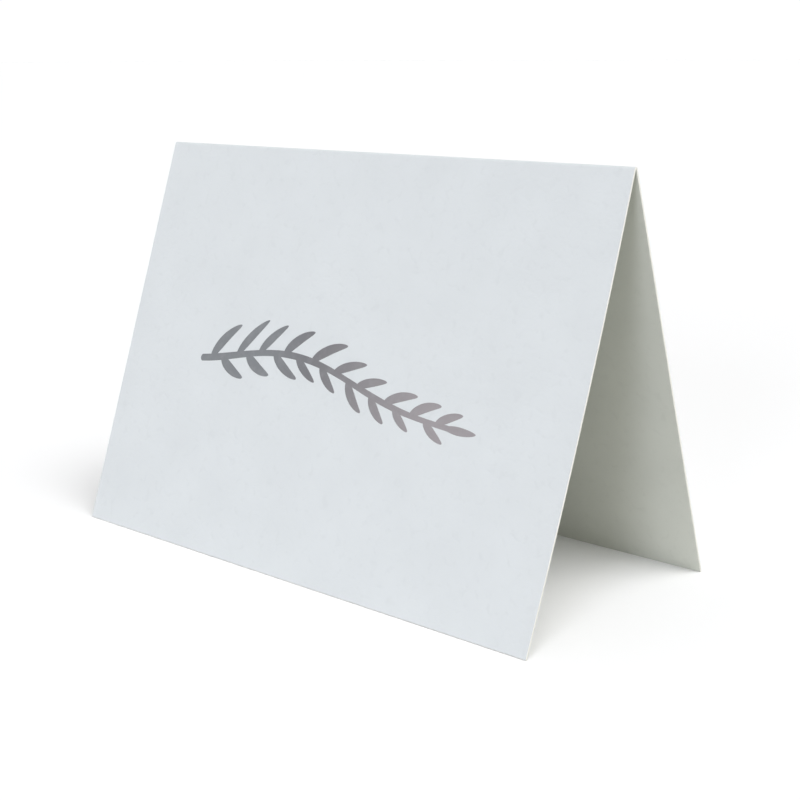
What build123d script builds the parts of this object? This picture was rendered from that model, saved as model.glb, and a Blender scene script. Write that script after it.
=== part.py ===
from build123d import *
import math
import os

# A tent-fold greeting card: one sheet of stout board, creased across its middle and stood
# on its two lower edges with the fold on top. Units are millimetres.
# +X runs along the fold, the front panel faces -Y, and +Z is up. The origin is the point
# on the ground below the middle of the fold.

# The flat sheet, as trimmed
SHEET_WIDTH = 148.0        # along the fold
SHEET_LENGTH = 210.0       # across the fold, both panels together
BOARD_THICKNESS = 0.5

# How the sheet is folded and stands
OPENING_ANGLE = 39.0       # between the two panels, in degrees
FOLD_INNER_RADIUS = 0.1    # of the bend, on the inside of the sheet

# The front panel has taken a slight curl: flat at its left edge, hollow at its right edge
FRONT_HOLLOW = 1.08        # at the middle of the right edge, towards the inside of the card

half_angle = math.radians(OPENING_ANGLE / 2)
fold_outer_radius = FOLD_INNER_RADIUS + BOARD_THICKNESS
fold_middle_radius = FOLD_INNER_RADIUS + BOARD_THICKNESS / 2

# The bend takes up some of the sheet, measured along the middle of its thickness
bend_length = fold_middle_radius * (math.pi - 2 * half_angle)
panel_length = (SHEET_LENGTH - bend_length) / 2

# The inner corners of the lower edges stand on the ground, which sets the fold's height
fold_height = panel_length * math.cos(half_angle) - FOLD_INNER_RADIUS * math.sin(half_angle)


def panel_point(side, down, radius, inward=0.0):
    """Y and Z of a point on a panel: side is -1 for the front and 1 for the back, down is
    the distance from the bend along the panel, radius is the distance of the surface from
    the centre of the bend, and inward moves the point towards the inside of the card."""
    reach = radius - inward
    y = side * (reach * math.cos(half_angle) + down * math.sin(half_angle))
    z = fold_height + reach * math.sin(half_angle) - down * math.cos(half_angle)
    return (y, z)


def card_section(x, hollow):
    """Closed outline of the folded sheet, square to the fold, at one place along it."""
    plane = Plane(origin=(x, 0, 0), x_dir=(0, 1, 0), z_dir=(1, 0, 0))

    def place(point):
        return plane.from_local_coords(point)

    def panel_face(side, start, end, radius, inward):
        """A panel's face, from one distance down it to another: a straight line, or an
        arc where the panel is hollow."""
        first = place(panel_point(side, start, radius))
        last = place(panel_point(side, end, radius))
        if inward == 0:
            return Edge.make_line(first, last)
        middle = place(panel_point(side, (start + end) / 2, radius, inward))
        return Edge.make_three_point_arc(first, middle, last)

    def bend(side, radius):
        """The face of the bend, from the panel on this side, over the top to the other."""
        first = place(panel_point(side, 0, radius))
        last = place(panel_point(-side, 0, radius))
        return Edge.make_three_point_arc(first, place((0, fold_height + radius)), last)

    def foot(side):
        """The cut edge that a panel stands on, from its outer corner to its inner one."""
        outer_corner = place(panel_point(side, panel_length, fold_outer_radius))
        inner_corner = place(panel_point(side, panel_length, FOLD_INNER_RADIUS))
        return Edge.make_line(outer_corner, inner_corner)

    front, back = -1, 1
    outline = [
        panel_face(front, panel_length, 0, fold_outer_radius, hollow),
        bend(front, fold_outer_radius),
        panel_face(back, 0, panel_length, fold_outer_radius, 0),
        foot(back),
        panel_face(back, panel_length, 0, FOLD_INNER_RADIUS, 0),
        bend(back, FOLD_INNER_RADIUS),
        panel_face(front, 0, panel_length, FOLD_INNER_RADIUS, hollow),
        foot(front),
    ]
    return Wire(outline)


def folded_card():
    """The whole card, ruled from its flat left end to its hollow right end."""
    left_end = card_section(-SHEET_WIDTH / 2, 0)
    right_end = card_section(SHEET_WIDTH / 2, FRONT_HOLLOW)
    return Solid.make_loft([left_end, right_end], ruled=True)


os.makedirs("parts", exist_ok=True)
card = folded_card()
card.label = "folded_card"
export_step(card, "parts/folded_card.step")

sheet_volume = SHEET_WIDTH * SHEET_LENGTH * BOARD_THICKNESS
print("solid volume", round(card.volume, 1), "mm3, flat sheet", round(sheet_volume, 1), "mm3")
print("height", round(fold_height + fold_outer_radius, 2), "panel run", round(panel_length, 2))
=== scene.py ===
import math

import bmesh
import bpy
import numpy as np
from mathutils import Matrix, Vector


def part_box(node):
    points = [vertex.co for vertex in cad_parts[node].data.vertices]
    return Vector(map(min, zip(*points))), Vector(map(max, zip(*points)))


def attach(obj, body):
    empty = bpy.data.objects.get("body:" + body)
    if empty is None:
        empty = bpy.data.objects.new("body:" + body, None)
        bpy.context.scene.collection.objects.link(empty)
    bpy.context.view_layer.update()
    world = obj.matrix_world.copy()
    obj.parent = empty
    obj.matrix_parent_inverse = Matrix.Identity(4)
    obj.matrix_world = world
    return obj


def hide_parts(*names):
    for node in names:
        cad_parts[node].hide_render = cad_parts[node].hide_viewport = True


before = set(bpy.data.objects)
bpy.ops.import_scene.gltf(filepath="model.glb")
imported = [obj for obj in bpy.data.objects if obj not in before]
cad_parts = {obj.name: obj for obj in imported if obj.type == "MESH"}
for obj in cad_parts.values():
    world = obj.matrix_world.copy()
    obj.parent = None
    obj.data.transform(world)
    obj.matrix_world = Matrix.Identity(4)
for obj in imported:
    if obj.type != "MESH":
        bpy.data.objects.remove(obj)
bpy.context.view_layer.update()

# ---------------------------------------------------------------------------------------
# The folded sheet. One piece of stout felt-marked board, guillotined square, creased
# across its middle with a rule and folded to stand as a tent. Nothing is glued or added.
# ---------------------------------------------------------------------------------------

MM = 0.001
BOARD_THICKNESS = 0.5 * MM
FOLD_INNER_RADIUS = 0.1 * MM
FOLD_OUTER_RADIUS = FOLD_INNER_RADIUS + BOARD_THICKNESS
FOLD_MIDDLE_RADIUS = FOLD_INNER_RADIUS + BOARD_THICKNESS / 2
FRONT_HOLLOW = 1.08 * MM     # the curl at the middle of the front panel's right edge
EDGE_ROLL = 0.07 * MM        # how far the blade rolls the corners of the cut edges over

sheet_low, sheet_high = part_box("folded_card")
HALF_WIDTH = sheet_high.x
HALF_DEPTH = sheet_high.y
CARD_HEIGHT = sheet_high.z

# The lean of a panel from the vertical follows from the height and depth of the card:
# each pass puts the last lean into the small terms of the fold.
lean = math.atan2(HALF_DEPTH, CARD_HEIGHT)
for _ in range(8):
    panel_rise = CARD_HEIGHT - FOLD_OUTER_RADIUS + FOLD_INNER_RADIUS * math.sin(lean)
    panel_reach = HALF_DEPTH - FOLD_OUTER_RADIUS * math.cos(lean)
    lean = math.atan2(panel_reach, panel_rise)
PANEL_LENGTH = math.hypot(panel_rise, panel_reach)
HALF_TURN = math.pi / 2 - lean
HALF_BEND = FOLD_MIDDLE_RADIUS * HALF_TURN
FOLD_HEIGHT = CARD_HEIGHT - FOLD_OUTER_RADIUS
HALF_SHEET = HALF_BEND + PANEL_LENGTH


def sheet_line(along, radius):
    """Y and Z on one surface of the folded sheet, at signed distances along the sheet from
    the fold, negative on the front. The line is an arc of this radius through the bend,
    then a straight run down each panel that leaves the arc on its tangent."""
    turn = np.clip(along / FOLD_MIDDLE_RADIUS, -HALF_TURN, HALF_TURN)
    run = np.maximum(np.abs(along) - HALF_BEND, 0)
    y = radius * np.sin(turn) + np.sign(along) * run * math.sin(lean)
    z = FOLD_HEIGHT + radius * np.cos(turn) - run * math.cos(lean)
    return y, z


def front_curl(x, along):
    """How far the front panel lies inwards of flat: a parabola down the panel, growing in
    proportion from the left edge to the right edge. Nothing on the back panel."""
    down = np.clip((-along - HALF_BEND) / PANEL_LENGTH, 0, 1)
    across = (x + HALF_WIDTH) / (2 * HALF_WIDTH)
    return FRONT_HOLLOW * across * 4 * down * (1 - down)


def sheet_point(x, along, depth):
    """Points of the folded sheet: x along the fold, the signed distance along the sheet,
    and the depth below its outer surface, which takes that much off the radius of the bend.
    The curl moves the whole thickness inwards, square to the panel."""
    y, z = sheet_line(along, FOLD_OUTER_RADIUS - depth)
    curl = front_curl(x, along)
    return np.stack([x, y + curl * math.cos(lean), z - curl * math.sin(lean)], axis=-1)


def with_rims(half, inside):
    """Positions from -half to half with a rolled rim at each end, and the depth of each
    below the face: half the board at the very rim, then a quarter circle of EDGE_ROLL, and
    one more position just inside it that keeps the face's shading flat."""
    bend = np.radians([0, 30, 60, 90])
    inset = np.concatenate([[0], EDGE_ROLL * (1 - np.cos(bend)), [2 * EDGE_ROLL]])
    depth = np.concatenate([[BOARD_THICKNESS / 2], EDGE_ROLL * (1 - np.sin(bend)), [0]])
    low, high = -half + inset, half - inset[::-1]
    place = np.concatenate([low, inside, high])
    below = np.concatenate([depth, np.zeros(len(inside)), depth[::-1]])
    return place, below


def sheet_faces(flip, rows, columns, first):
    """Quads of a grid whose points are numbered row by row from first."""
    number = first + np.arange(rows * columns).reshape(rows, columns)
    corners = [number[:-1, :-1], number[1:, :-1], number[1:, 1:], number[:-1, 1:]]
    quads = np.stack(corners, axis=-1).reshape(-1, 4)
    return quads[:, ::-1] if flip else quads


def folded_sheet():
    """The closed sheet: one grid for its outer surface and one for its inner surface, each
    rolled over at its rims to the middle of the thickness, where the two are welded."""
    face_step = 1.5 * MM
    panel_start = 2.5 * MM
    across = np.linspace(-HALF_WIDTH, HALF_WIDTH, round(2 * HALF_WIDTH / face_step))[1:-1]
    panel = np.linspace(panel_start, HALF_SHEET, round(PANEL_LENGTH / face_step))[:-1]
    bend = np.linspace(-1, 1, 25) * HALF_BEND
    # Closer rows just outside the bend keep its shading off the flat of the panels.
    beside = np.array([1.15, 1.5, 2.0, 2.6]) * HALF_BEND
    inside = np.concatenate([-panel[::-1], -beside[::-1], bend, beside, panel])
    x, depth_x = with_rims(HALF_WIDTH, across)
    along, depth_along = with_rims(HALF_SHEET, inside)
    grid_x, grid_along = np.meshgrid(x, along, indexing="ij")
    depth = np.maximum(depth_x[:, None], depth_along[None, :])
    outer = sheet_point(grid_x, grid_along, depth)
    inner = sheet_point(grid_x, grid_along, BOARD_THICKNESS - depth)

    rows, columns = depth.shape
    points = np.concatenate([outer.reshape(-1, 3), inner.reshape(-1, 3)])
    flat = np.stack([grid_x, grid_along], axis=-1).reshape(-1, 2)
    quads = np.concatenate(
        [sheet_faces(False, rows, columns, 0), sheet_faces(True, rows, columns, rows * columns)]
    )
    rim_depth = np.concatenate([depth.reshape(-1)] * 2)
    return points, quads, np.concatenate([flat] * 2), rim_depth


def new_mesh(name, points, quads):
    """A mesh object at the origin from arrays of points and of four-cornered faces."""
    mesh = bpy.data.meshes.new(name)
    mesh.from_pydata(points.tolist(), [], quads.tolist())
    mesh.polygons.foreach_set("use_smooth", [True] * len(quads))
    piece = bpy.data.objects.new(name, mesh)
    bpy.context.scene.collection.objects.link(piece)
    return piece


def linear(hex_colour):
    """The linear colour of an sRGB hex value."""
    value = np.array([int(hex_colour[i : i + 2], 16) for i in (1, 3, 5)]) / 255
    low, high = value / 12.92, ((value + 0.055) / 1.055) ** 2.4
    return (*np.where(value <= 0.04045, low, high).tolist(), 1.0)


def add_node(tree, kind, inputs=None, **settings):
    """Adds a node with its settings. An input given as an output socket is linked to it,
    and any other value is set on the socket."""
    node = tree.nodes.new(kind)
    for name, value in settings.items():
        setattr(node, name, value)
    for name, value in (inputs or {}).items():
        if isinstance(value, bpy.types.NodeSocket):
            tree.links.new(value, node.inputs[name])
        else:
            node.inputs[name].default_value = value
    return node


def new_material(name):
    """A material with an empty node tree."""
    material = bpy.data.materials.new(name)
    material.use_nodes = True
    material.node_tree.nodes.clear()
    return material, material.node_tree


CLOUD_SIZE = 14 * MM         # of the thick and thin patches in the pulp
DIMPLE_SPACING = 2.4 * MM    # of the marks that the felt leaves
GRAIN_SIZE = 0.7 * MM
GRAIN_RELIEF = 0.02 * MM
FIBRE_SIZE = 0.25 * MM       # coarser than real fibres, so that they show at all
FIBRE_RELIEF = 0.006 * MM


def board_face(name, pale, dark, dimple_shade, relief):
    """Uncoated felt-marked board. The felt of the paper machine presses soft dimples into
    the sheet over a finer grain, and the pulp lies in faint clouds. The eye sees a matt
    sheet that is never quite even: each dimple has a paler and a duskier flank from its
    relief, and its lowest part is mixed towards a darker colour, which is painted shade in
    the dimple. Relief is the depth of the dimples."""
    material, tree = new_material(name)
    flat = add_node(tree, "ShaderNodeUVMap", uv_map="sheet").outputs["UV"]
    clouds = add_node(
        tree, "ShaderNodeTexNoise", {"Vector": flat, "Scale": 1 / CLOUD_SIZE, "Detail": 4.0}
    )
    dimples = add_node(
        tree,
        "ShaderNodeTexNoise",
        {"Vector": flat, "Scale": 1 / DIMPLE_SPACING, "Detail": 2.0, "Distortion": 0.6},
    )
    grain = add_node(
        tree, "ShaderNodeTexNoise", {"Vector": flat, "Scale": 1 / GRAIN_SIZE, "Detail": 3.0}
    )
    fibres = add_node(
        tree, "ShaderNodeTexNoise", {"Vector": flat, "Scale": 1 / FIBRE_SIZE, "Detail": 2.0}
    )
    cloud_share = add_node(
        tree,
        "ShaderNodeMapRange",
        {"Value": clouds.outputs["Fac"], "From Min": 0.3, "From Max": 0.7},
    )
    tint = add_node(
        tree,
        "ShaderNodeMix",
        {"Factor": cloud_share.outputs["Result"], "A": linear(pale), "B": linear(dark)},
        data_type="RGBA",
    )
    # Painted shade: the lowest parts of the dimples are mixed towards the darker colour.
    dimple_shade_mask = add_node(
        tree,
        "ShaderNodeMapRange",
        {"Value": dimples.outputs["Fac"], "From Min": 0.45, "From Max": 0.25, "To Max": 0.5},
        interpolation_type="SMOOTHSTEP",
    )
    colour = add_node(
        tree,
        "ShaderNodeMix",
        {"Factor": dimple_shade_mask.outputs["Result"], "A": tint.outputs[2], "B": linear(dimple_shade)},
        data_type="RGBA",
    )
    normal = None
    for pattern, depth in ((dimples, relief), (grain, GRAIN_RELIEF), (fibres, FIBRE_RELIEF)):
        heights = {"Height": pattern.outputs["Fac"], "Strength": 1.0, "Distance": depth}
        if normal is not None:
            heights["Normal"] = normal
        normal = add_node(tree, "ShaderNodeBump", heights).outputs["Normal"]
    rough = add_node(
        tree, "ShaderNodeMapRange", {"Value": grain.outputs["Fac"], "To Min": 0.72, "To Max": 0.9}
    )
    surface = add_node(
        tree,
        "ShaderNodeBsdfPrincipled",
        {
            "Base Color": colour.outputs[2],
            "Roughness": rough.outputs["Result"],
            "Normal": normal,
            "IOR": 1.45,
            "Specular IOR Level": 0.35,
        },
    )
    add_node(tree, "ShaderNodeOutputMaterial", {"Surface": surface.outputs["BSDF"]})
    return material


LAYER_SIZE = 0.35 * MM       # of the clumps of fibre in the cut edge
CUT_RELIEF = 0.03 * MM


def cut_board():
    """The sheet's guillotined edge: bare pulp in thin layers, sheared but not polished. It
    is paler and rougher than the faces, with short fibres standing in the cut."""
    material, tree = new_material("guillotined_board_edge")
    place = add_node(tree, "ShaderNodeTexCoord").outputs["Object"]
    layers = add_node(
        tree, "ShaderNodeTexNoise", {"Vector": place, "Scale": 1 / LAYER_SIZE, "Detail": 4.0}
    )
    colour = add_node(
        tree,
        "ShaderNodeMix",
        {"Factor": layers.outputs["Fac"], "A": linear("#E9E8E1"), "B": linear("#DAD9D0")},
        data_type="RGBA",
    )
    fibre = add_node(
        tree,
        "ShaderNodeBump",
        {"Height": layers.outputs["Fac"], "Strength": 1.0, "Distance": CUT_RELIEF},
    )
    rough = add_node(
        tree, "ShaderNodeMapRange", {"Value": layers.outputs["Fac"], "To Min": 0.85, "To Max": 1.0}
    )
    surface = add_node(
        tree,
        "ShaderNodeBsdfPrincipled",
        {
            "Base Color": colour.outputs[2],
            "Roughness": rough.outputs["Result"],
            "Normal": fibre.outputs["Normal"],
            "IOR": 1.45,
            "Specular IOR Level": 0.3,
        },
    )
    add_node(tree, "ShaderNodeOutputMaterial", {"Surface": surface.outputs["BSDF"]})
    return material


FELT_RELIEF = 0.09 * MM
WIRE_RELIEF = 0.05 * MM

# The outside is the felt side, tinted to a cool white. The inside is the wire side, a
# little smoother and nearer to the natural cream of the pulp, and also darker than the
# outside: a shaded copy of the board, which paints part of the shade inside the tent.
# The third colour of each is painted shade in the lowest parts of the felt dimples.
felt_side = board_face("felt_marked_board_outside", "#D3D7D8", "#D0D4D5", "#CCD0D1", FELT_RELIEF)
wire_side_and_shade = board_face("felt_marked_board_inside", "#CCCEC4", "#C8CAC0", "#C4C6BC", WIRE_RELIEF)
cut_edge = cut_board()

points, quads, flat, rim_depth = folded_sheet()
card = new_mesh("card_sheet", points, quads)
for material in (felt_side, wire_side_and_shade, cut_edge):
    card.data.materials.append(material)
side = np.where(np.arange(len(quads)) < len(quads) // 2, 0, 1)
on_rim = rim_depth[quads].mean(axis=1) > 0.3 * EDGE_ROLL
card.data.polygons.foreach_set("material_index", np.where(on_rim, 2, side))
corner_points = quads.reshape(-1)
sheet_map = card.data.uv_layers.new(name="sheet")
sheet_map.data.foreach_set("uv", flat[corner_points].reshape(-1))
weld = bmesh.new()
weld.from_mesh(card.data)
bmesh.ops.remove_doubles(weld, verts=weld.verts, dist=0.001 * MM)
weld.to_mesh(card.data)
weld.free()
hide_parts("folded_card")
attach(card, "root")

# ---------------------------------------------------------------------------------------
# The printed sprig. Silver-grey ink laid on the felt side, drawn as if with a marker pen:
# one stem and its leaves, a stroke each. Every stroke is a thin closed film that follows
# the curl of the panel.
# ---------------------------------------------------------------------------------------

INK_BUILD = 0.03 * MM        # how far the film stands proud of the board
INK_SUNK = 0.03 * MM         # how far its underside reaches into the board
PRINT_RUN = 54.5 * MM        # from the bend down the front panel to the middle of the print

# The drawing's own sizes are in millimetres, and its origin is the middle of the print.
PEN_WIDTH = 1.6              # of the stem's stroke
STEM_LENGTH = 88.0
STEM_START = (-45.0, -1.5)
LEAVES = 19
UPPER_LEAF = 13.2            # the length of the first leaf above the stem
LOWER_LEAF = 11.0            # the length of the first leaf below it
LEAF_BREADTH = 2.95
LEAF_SPREAD = 52             # from the stem, in degrees
TIP_LEAF_LENGTH = 9.0
TIP_LEAF_BREADTH = 2.2


def stem_heading(t):
    """The stem's heading along its length, in radians: a slow wave that droops a little
    more towards the tip."""
    return 0.24 * np.sin(2 * math.pi * (1.05 * t + 0.1)) - 0.03 - 0.25 * t**6


def stem_line(t):
    """The stem in the plane of the panel, in millimetres right of and above the middle of
    the print: small steps along its heading, summed from its cut end."""
    fine = np.linspace(0, 1, 401)
    heading = stem_heading((fine[1:] + fine[:-1]) / 2)
    step = STEM_LENGTH / len(heading)
    x = STEM_START[0] + np.concatenate([[0], np.cumsum(np.cos(heading) * step)])
    y = STEM_START[1] + np.concatenate([[0], np.cumsum(np.sin(heading) * step)])
    return np.stack([np.interp(t, fine, x), np.interp(t, fine, y)], axis=-1)


def leaf_line(root, heading, length, bend):
    """A function of the share t along a leaf: it leaves root on its heading and turns
    steadily through bend radians, so that it is an arc."""

    def line(t):
        turned = heading + bend * t
        step = length * (np.sin(turned) - math.sin(heading)) / bend
        rise = -length * (np.cos(turned) - math.cos(heading)) / bend
        return np.stack([root[0] + step, root[1] + rise], axis=-1)

    return line


def stroke(line, width, steps, around=12):
    """A closed film along a line in the plane of the panel. At each share t of the line its
    section is a flat lens as wide as width(t), and both ends close to a point. The film is
    thickest where it is widest, and thins as the square root of its width."""
    t = (1 - np.cos(np.linspace(0, math.pi, steps))) / 2
    middle = line(t) * MM
    travel = np.gradient(middle, t, axis=0)
    travel /= np.linalg.norm(travel, axis=1)[:, None]
    sideways = np.stack([-travel[:, 1], travel[:, 0]], axis=-1)
    half = width(t) * MM / 2
    angle = np.linspace(0, 2 * math.pi, around, endpoint=False)
    plane = middle[:, None] + sideways[:, None] * (half[:, None] * np.cos(angle))[..., None]
    lift = np.where(np.sin(angle) > 0, INK_BUILD, INK_SUNK) * np.sin(angle)
    depth = -lift * (half / half.max())[:, None] ** 0.5
    along = plane[..., 1] - PRINT_RUN - HALF_BEND
    points = sheet_point(plane[..., 0], along, depth).reshape(-1, 3)
    number = np.arange(steps * around).reshape(steps, around)
    after = np.roll(number, -1, axis=1)
    quads = np.stack([number[:-1], after[:-1], after[1:], number[1:]], axis=-1)
    return points, quads.reshape(-1, 4)


def rounded_ends(t, share):
    """1 along a stroke, falling to 0 at both ends as a quarter circle over this share."""
    near = np.clip(np.minimum(t, 1 - t) / share, 0, 1)
    return np.sqrt(near * (2 - near))


def stem_width(t):
    """The pen's width, pressed harder at the start, with round ends."""
    return PEN_WIDTH * (1.12 - 0.3 * t + 0.06 * np.sin(19 * t)) * rounded_ends(t, 0.009)


def leaf_width(widest, fullest):
    """A leaf's stroke: it swells from a stalk to its widest at the share fullest, then
    narrows to a point, as the square root of a sine whose argument is bent to put the
    crest there."""
    power = math.log(0.5) / math.log(fullest)

    def width(t):
        swell = np.sqrt(np.clip(np.sin(math.pi * t**power), 0, 1)) * (1 - 0.25 * t)
        return widest * swell * rounded_ends(t, 0.02)

    return width


def sprig():
    """The strokes of the sprig: the stem, leaves set alternately above and below it that
    lean towards the tip, and one leaf at the tip. Along the stem the leaves lose a third of
    their length, almost a fifth of their breadth and ten degrees of their spread. Two
    unequal waves vary them, so that no two are alike."""
    strokes = [stroke(stem_line, stem_width, 140)]
    for i in range(LEAVES):
        side = 1 if i % 2 == 0 else -1
        wave = math.sin(2.4 * i + 0.6)
        other = math.sin(4.1 * i)
        share = i / (LEAVES - 1)
        t = 0.045 + 0.9 * share + 0.007 * other
        spread = math.radians(LEAF_SPREAD + 5 * wave - 10 * share)
        longest = UPPER_LEAF if side > 0 else LOWER_LEAF
        length = longest * (1 - 0.34 * share) * (1 + 0.08 * other)
        bend = -side * (0.5 + 0.15 * wave)
        widest = LEAF_BREADTH * (1 - 0.18 * share) * (1 + 0.07 * wave)
        line = leaf_line(stem_line(t), float(stem_heading(t)) + side * spread, length, bend)
        strokes.append(stroke(line, leaf_width(widest, 0.45), 32))
    tip = leaf_line(stem_line(0.97), float(stem_heading(0.97)), TIP_LEAF_LENGTH, 0.1)
    strokes.append(stroke(tip, leaf_width(TIP_LEAF_BREADTH, 0.5), 32))
    return strokes


MOTTLE_SIZE = 2.5 * MM       # of the patches where the ink took unevenly


def silver_ink():
    """Silver litho ink, aluminium flake in a grey varnish. The eye sees a satin mid grey
    with a fine mottle. Its colour along the sprig is painted reflection: cool grey from the
    cut end, a little darker before the middle, then paler and warmer towards the tip."""
    material, tree = new_material("silver_grey_ink")
    place = add_node(tree, "ShaderNodeTexCoord").outputs["Object"]
    split = add_node(tree, "ShaderNodeSeparateXYZ", {"Vector": place})
    # Painted reflection: the ink's colour changes with X along the sprig, from a cool grey at the
    # cut end to a paler, warmer grey towards the tip.
    cut_end_reflection_ramp = add_node(
        tree,
        "ShaderNodeMapRange",
        {"Value": split.outputs["X"], "From Min": -20 * MM, "From Max": -6 * MM},
    )
    warm_reflection_ramp = add_node(
        tree,
        "ShaderNodeMapRange",
        {"Value": split.outputs["X"], "From Min": -6 * MM, "From Max": 32 * MM},
    )
    mottle = add_node(
        tree, "ShaderNodeTexNoise", {"Vector": place, "Scale": 1 / MOTTLE_SIZE, "Detail": 3.0}
    )
    cut_end_reflection = add_node(
        tree,
        "ShaderNodeMix",
        {"Factor": cut_end_reflection_ramp.outputs["Result"], "A": linear("#818487"), "B": linear("#7A7A7D")},
        data_type="RGBA",
    )
    # Painted reflection: the paler, warmer grey towards the tip.
    body = add_node(
        tree,
        "ShaderNodeMix",
        {"Factor": warm_reflection_ramp.outputs["Result"], "A": cut_end_reflection.outputs[2], "B": linear("#9D989A")},
        data_type="RGBA",
    )
    thin = add_node(
        tree,
        "ShaderNodeMapRange",
        {"Value": mottle.outputs["Fac"], "From Min": 0.5, "From Max": 0.8, "To Max": 0.2},
    )
    colour = add_node(
        tree,
        "ShaderNodeMix",
        {"Factor": thin.outputs["Result"], "A": body.outputs[2], "B": linear("#B4B4B6")},
        data_type="RGBA",
    )
    rough = add_node(
        tree,
        "ShaderNodeMapRange",
        {"Value": mottle.outputs["Fac"], "To Min": 0.42, "To Max": 0.6},
    )
    surface = add_node(
        tree,
        "ShaderNodeBsdfPrincipled",
        {
            "Base Color": colour.outputs[2],
            "Roughness": rough.outputs["Result"],
            "Metallic": 0.25,
        },
    )
    add_node(tree, "ShaderNodeOutputMaterial", {"Surface": surface.outputs["BSDF"]})
    return material


ink_points, ink_quads, count = [], [], 0
for film_points, film_quads in sprig():
    ink_points.append(film_points)
    ink_quads.append(film_quads + count)
    count += len(film_points)
print_film = new_mesh("printed_sprig", np.concatenate(ink_points), np.concatenate(ink_quads))
print_film.data.materials.append(silver_ink())
weld = bmesh.new()
weld.from_mesh(print_film.data)
bmesh.ops.remove_doubles(weld, verts=weld.verts, dist=0.001 * MM)
bmesh.ops.recalc_face_normals(weld, faces=weld.faces)
weld.to_mesh(print_film.data)
weld.free()
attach(print_film, "root")

# ---------------------------------------------------------------------------------------
# The studio: a plain pale floor out to the horizon and a pale horizon behind it. A high soft
# light from the right does most of the work, with a broad fill from overhead. A narrower,
# cooler light low in front reaches in at the card's open right end.
# ---------------------------------------------------------------------------------------

FLOOR_REACH = 40.0
corners = FLOOR_REACH * np.array([[-1, -1, 0], [1, -1, 0], [1, 1, 0], [-1, 1, 0]])
floor = new_mesh("floor", corners, np.array([[0, 1, 2, 3]]))
floor_material, tree = new_material("pale_floor")
floor_paint = add_node(
    tree, "ShaderNodeBsdfPrincipled", {"Base Color": linear("#FAFAFA"), "Roughness": 0.9}
)
add_node(tree, "ShaderNodeOutputMaterial", {"Surface": floor_paint.outputs["BSDF"]})
floor.data.materials.append(floor_material)

# The horizon glows white up to about 12 degrees and fades out by 30 degrees, in terms of
# the height of a direction. Above that only the lamps light the card.
world = bpy.data.worlds.new("pale_horizon")
world.use_nodes = True
world.node_tree.nodes.clear()
tree = world.node_tree
direction = add_node(tree, "ShaderNodeTexCoord").outputs["Generated"]
height = add_node(tree, "ShaderNodeSeparateXYZ", {"Vector": direction}).outputs["Z"]
fade = add_node(
    tree,
    "ShaderNodeMapRange",
    {"Value": height, "From Min": 0.2, "From Max": 0.5, "To Min": 1.02, "To Max": 0.0},
    interpolation_type="SMOOTHSTEP",
)
sky = add_node(
    tree, "ShaderNodeBackground", {"Color": (1, 1, 1, 1), "Strength": fade.outputs["Result"]}
)
add_node(tree, "ShaderNodeOutputWorld", {"Surface": sky.outputs["Background"]})
bpy.context.scene.world = world


def soft_light(name, azimuth, elevation, irradiance, breadth, tint="#FFFFFF"):
    """A distant soft light from an azimuth, in degrees to the right of the front, and an
    elevation. Its breadth is the angle that it fills as seen from the card."""
    lamp = bpy.data.lights.new(name, "SUN")
    lamp.energy = irradiance
    lamp.color = linear(tint)[:3]
    lamp.angle = math.radians(breadth)
    light = bpy.data.objects.new(name, lamp)
    light.rotation_euler = (math.radians(90 - elevation), 0, math.radians(azimuth))
    bpy.context.scene.collection.objects.link(light)


soft_light("right_light", 80, 66, 2.15, 44)
soft_light("overhead_light", 0, 90, 0.88, 90)
soft_light("front_light", 16, 15, 0.69, 16, "#EDF0FF")

CAMERA_PLACE = (0.23948, -0.25829, 0.12150)
CAMERA_AZIMUTH, CAMERA_ELEVATION, CAMERA_ROLL = 41.374, 14.587, 0.19
lens = bpy.data.cameras.new("camera")
lens.sensor_width = 36
lens.lens = 64.68
lens.shift_x = -0.0154
lens.shift_y = 0.0384
lens.clip_start = 0.01
lens.clip_end = 200
camera = bpy.data.objects.new("camera", lens)
camera.location = CAMERA_PLACE
camera.rotation_euler = (
    math.radians(90 - CAMERA_ELEVATION),
    math.radians(CAMERA_ROLL),
    math.radians(CAMERA_AZIMUTH),
)
bpy.context.scene.collection.objects.link(camera)
bpy.context.scene.camera = camera
bpy.context.scene.view_settings.view_transform = "Standard"
